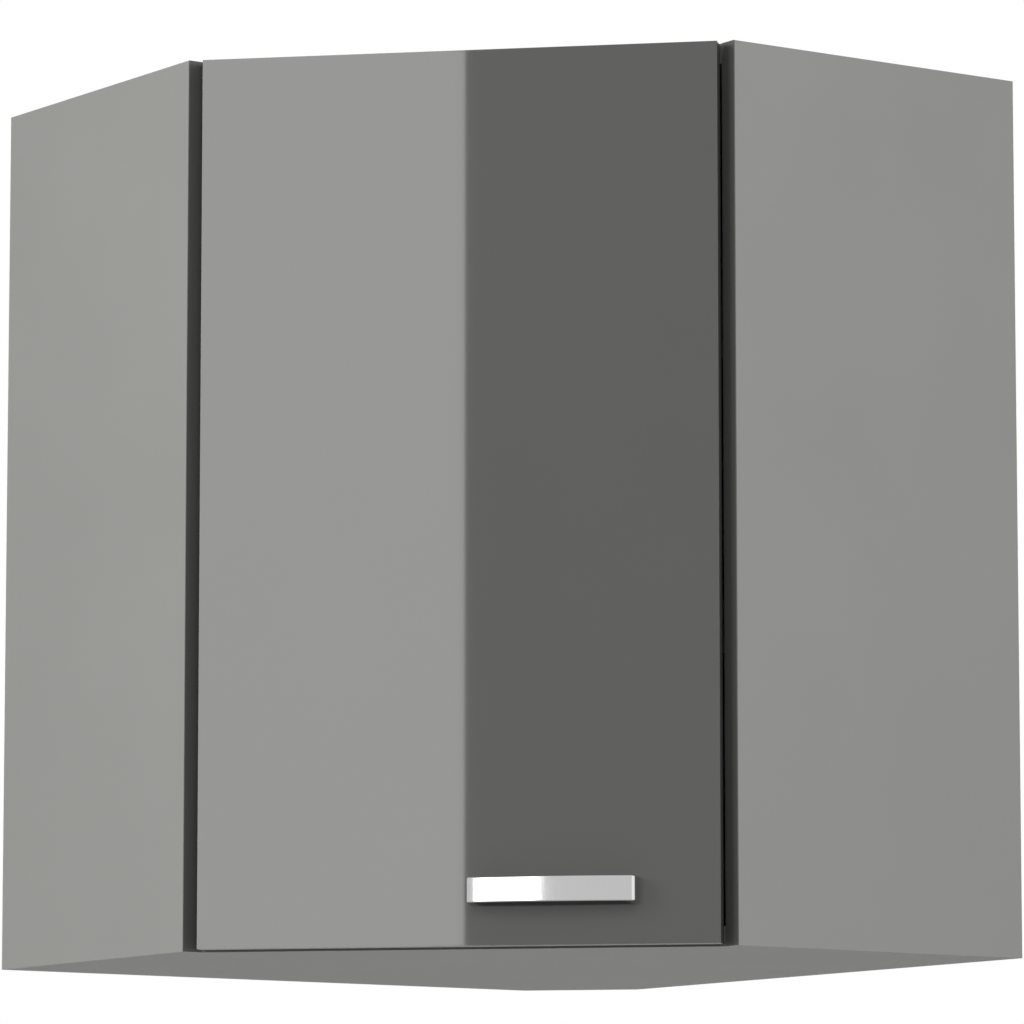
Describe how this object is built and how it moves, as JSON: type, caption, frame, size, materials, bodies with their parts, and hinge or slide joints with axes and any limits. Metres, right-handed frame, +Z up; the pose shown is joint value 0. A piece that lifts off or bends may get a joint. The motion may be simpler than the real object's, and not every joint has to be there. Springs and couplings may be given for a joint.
{
  "type": "corner wall cabinet",
  "caption": "Diagonal corner wall cabinet with one hinged gloss door, bow handle, two loose shelves and a cut rear corner, hung on two wall rails.",
  "frame": {"origin": "the room corner at the height of the cabinet's underside, where both wall planes meet", "axes": "+Z up, the left wall is the plane x = 0 and the right wall the plane y = 0, and the door faces (+1, -1, 0)"},
  "size_m": [0.6, 0.6, 0.72],
  "materials": {
    "grey_laminate": "satin",
    "gloss_door_board": "gloss",
    "dark_edging": "satin",
    "hardboard": "satin",
    "chrome": "polished",
    "plated_steel": "gloss",
    "zinc_casting": "satin",
    "grey_plastic": "satin",
    "beech": "matte",
    "clear_rubber": "gloss"
  },
  "bodies": {
    "cabinet": {"left_side_panel": "grey_laminate", "right_side_panel": "grey_laminate", "left_front_edge_band": "dark_edging", "right_front_edge_band": "dark_edging", "top_panel": "grey_laminate", "bottom_panel": "grey_laminate", "top_front_edge_band": "dark_edging", "bottom_front_edge_band": "dark_edging", "corner_back_panel": "grey_laminate", "left_back_panel": "hardboard", "right_back_panel": "hardboard", "lower_shelf": "grey_laminate", "upper_shelf": "grey_laminate", "lower_shelf_edge_band": "dark_edging", "upper_shelf_edge_band": "dark_edging", "lower_shelf_pins": "plated_steel", "upper_shelf_pins": "plated_steel", "cam_locks": "zinc_casting", "cam_bolts": "plated_steel", "cam_covers": "grey_plastic", "side_panel_dowels": "beech", "corner_panel_dowels": "beech", "left_wall_rail": "plated_steel", "right_wall_rail": "plated_steel", "left_hanger_housing": "grey_plastic", "right_hanger_housing": "grey_plastic", "left_hanger_hook": "plated_steel", "right_hanger_hook": "plated_steel", "left_hanger_screws": "plated_steel", "right_hanger_screws": "plated_steel", "hanger_adjusters": "plated_steel", "lower_hinge_arm": "plated_steel", "lower_mounting_plate": "plated_steel", "lower_plate_screws": "plated_steel", "lower_depth_screw": "plated_steel", "lower_side_screw": "plated_steel", "upper_hinge_arm": "plated_steel", "upper_mounting_plate": "plated_steel", "upper_plate_screws": "plated_steel", "upper_depth_screw": "plated_steel", "upper_side_screw": "plated_steel"},
    "door": {"door_panel": "gloss_door_board", "door_edge_bands": "dark_edging", "handle": "chrome", "handle_screws": "plated_steel", "door_bumpers": "clear_rubber", "lower_hinge_cup": "plated_steel", "lower_cup_screws": "plated_steel", "lower_hinge_pin": "plated_steel", "lower_closing_spring": "plated_steel", "upper_hinge_cup": "plated_steel", "upper_cup_screws": "plated_steel", "upper_hinge_pin": "plated_steel", "upper_closing_spring": "plated_steel"}
  },
  "joints": [
    {"name": "door_swing", "type": "hinge", "parent": "cabinet", "child": "door", "pos_m": [0.29985, -0.58542, 0.36], "axis": [0, 0, -1], "range_deg": [0, 95]}
  ]
}
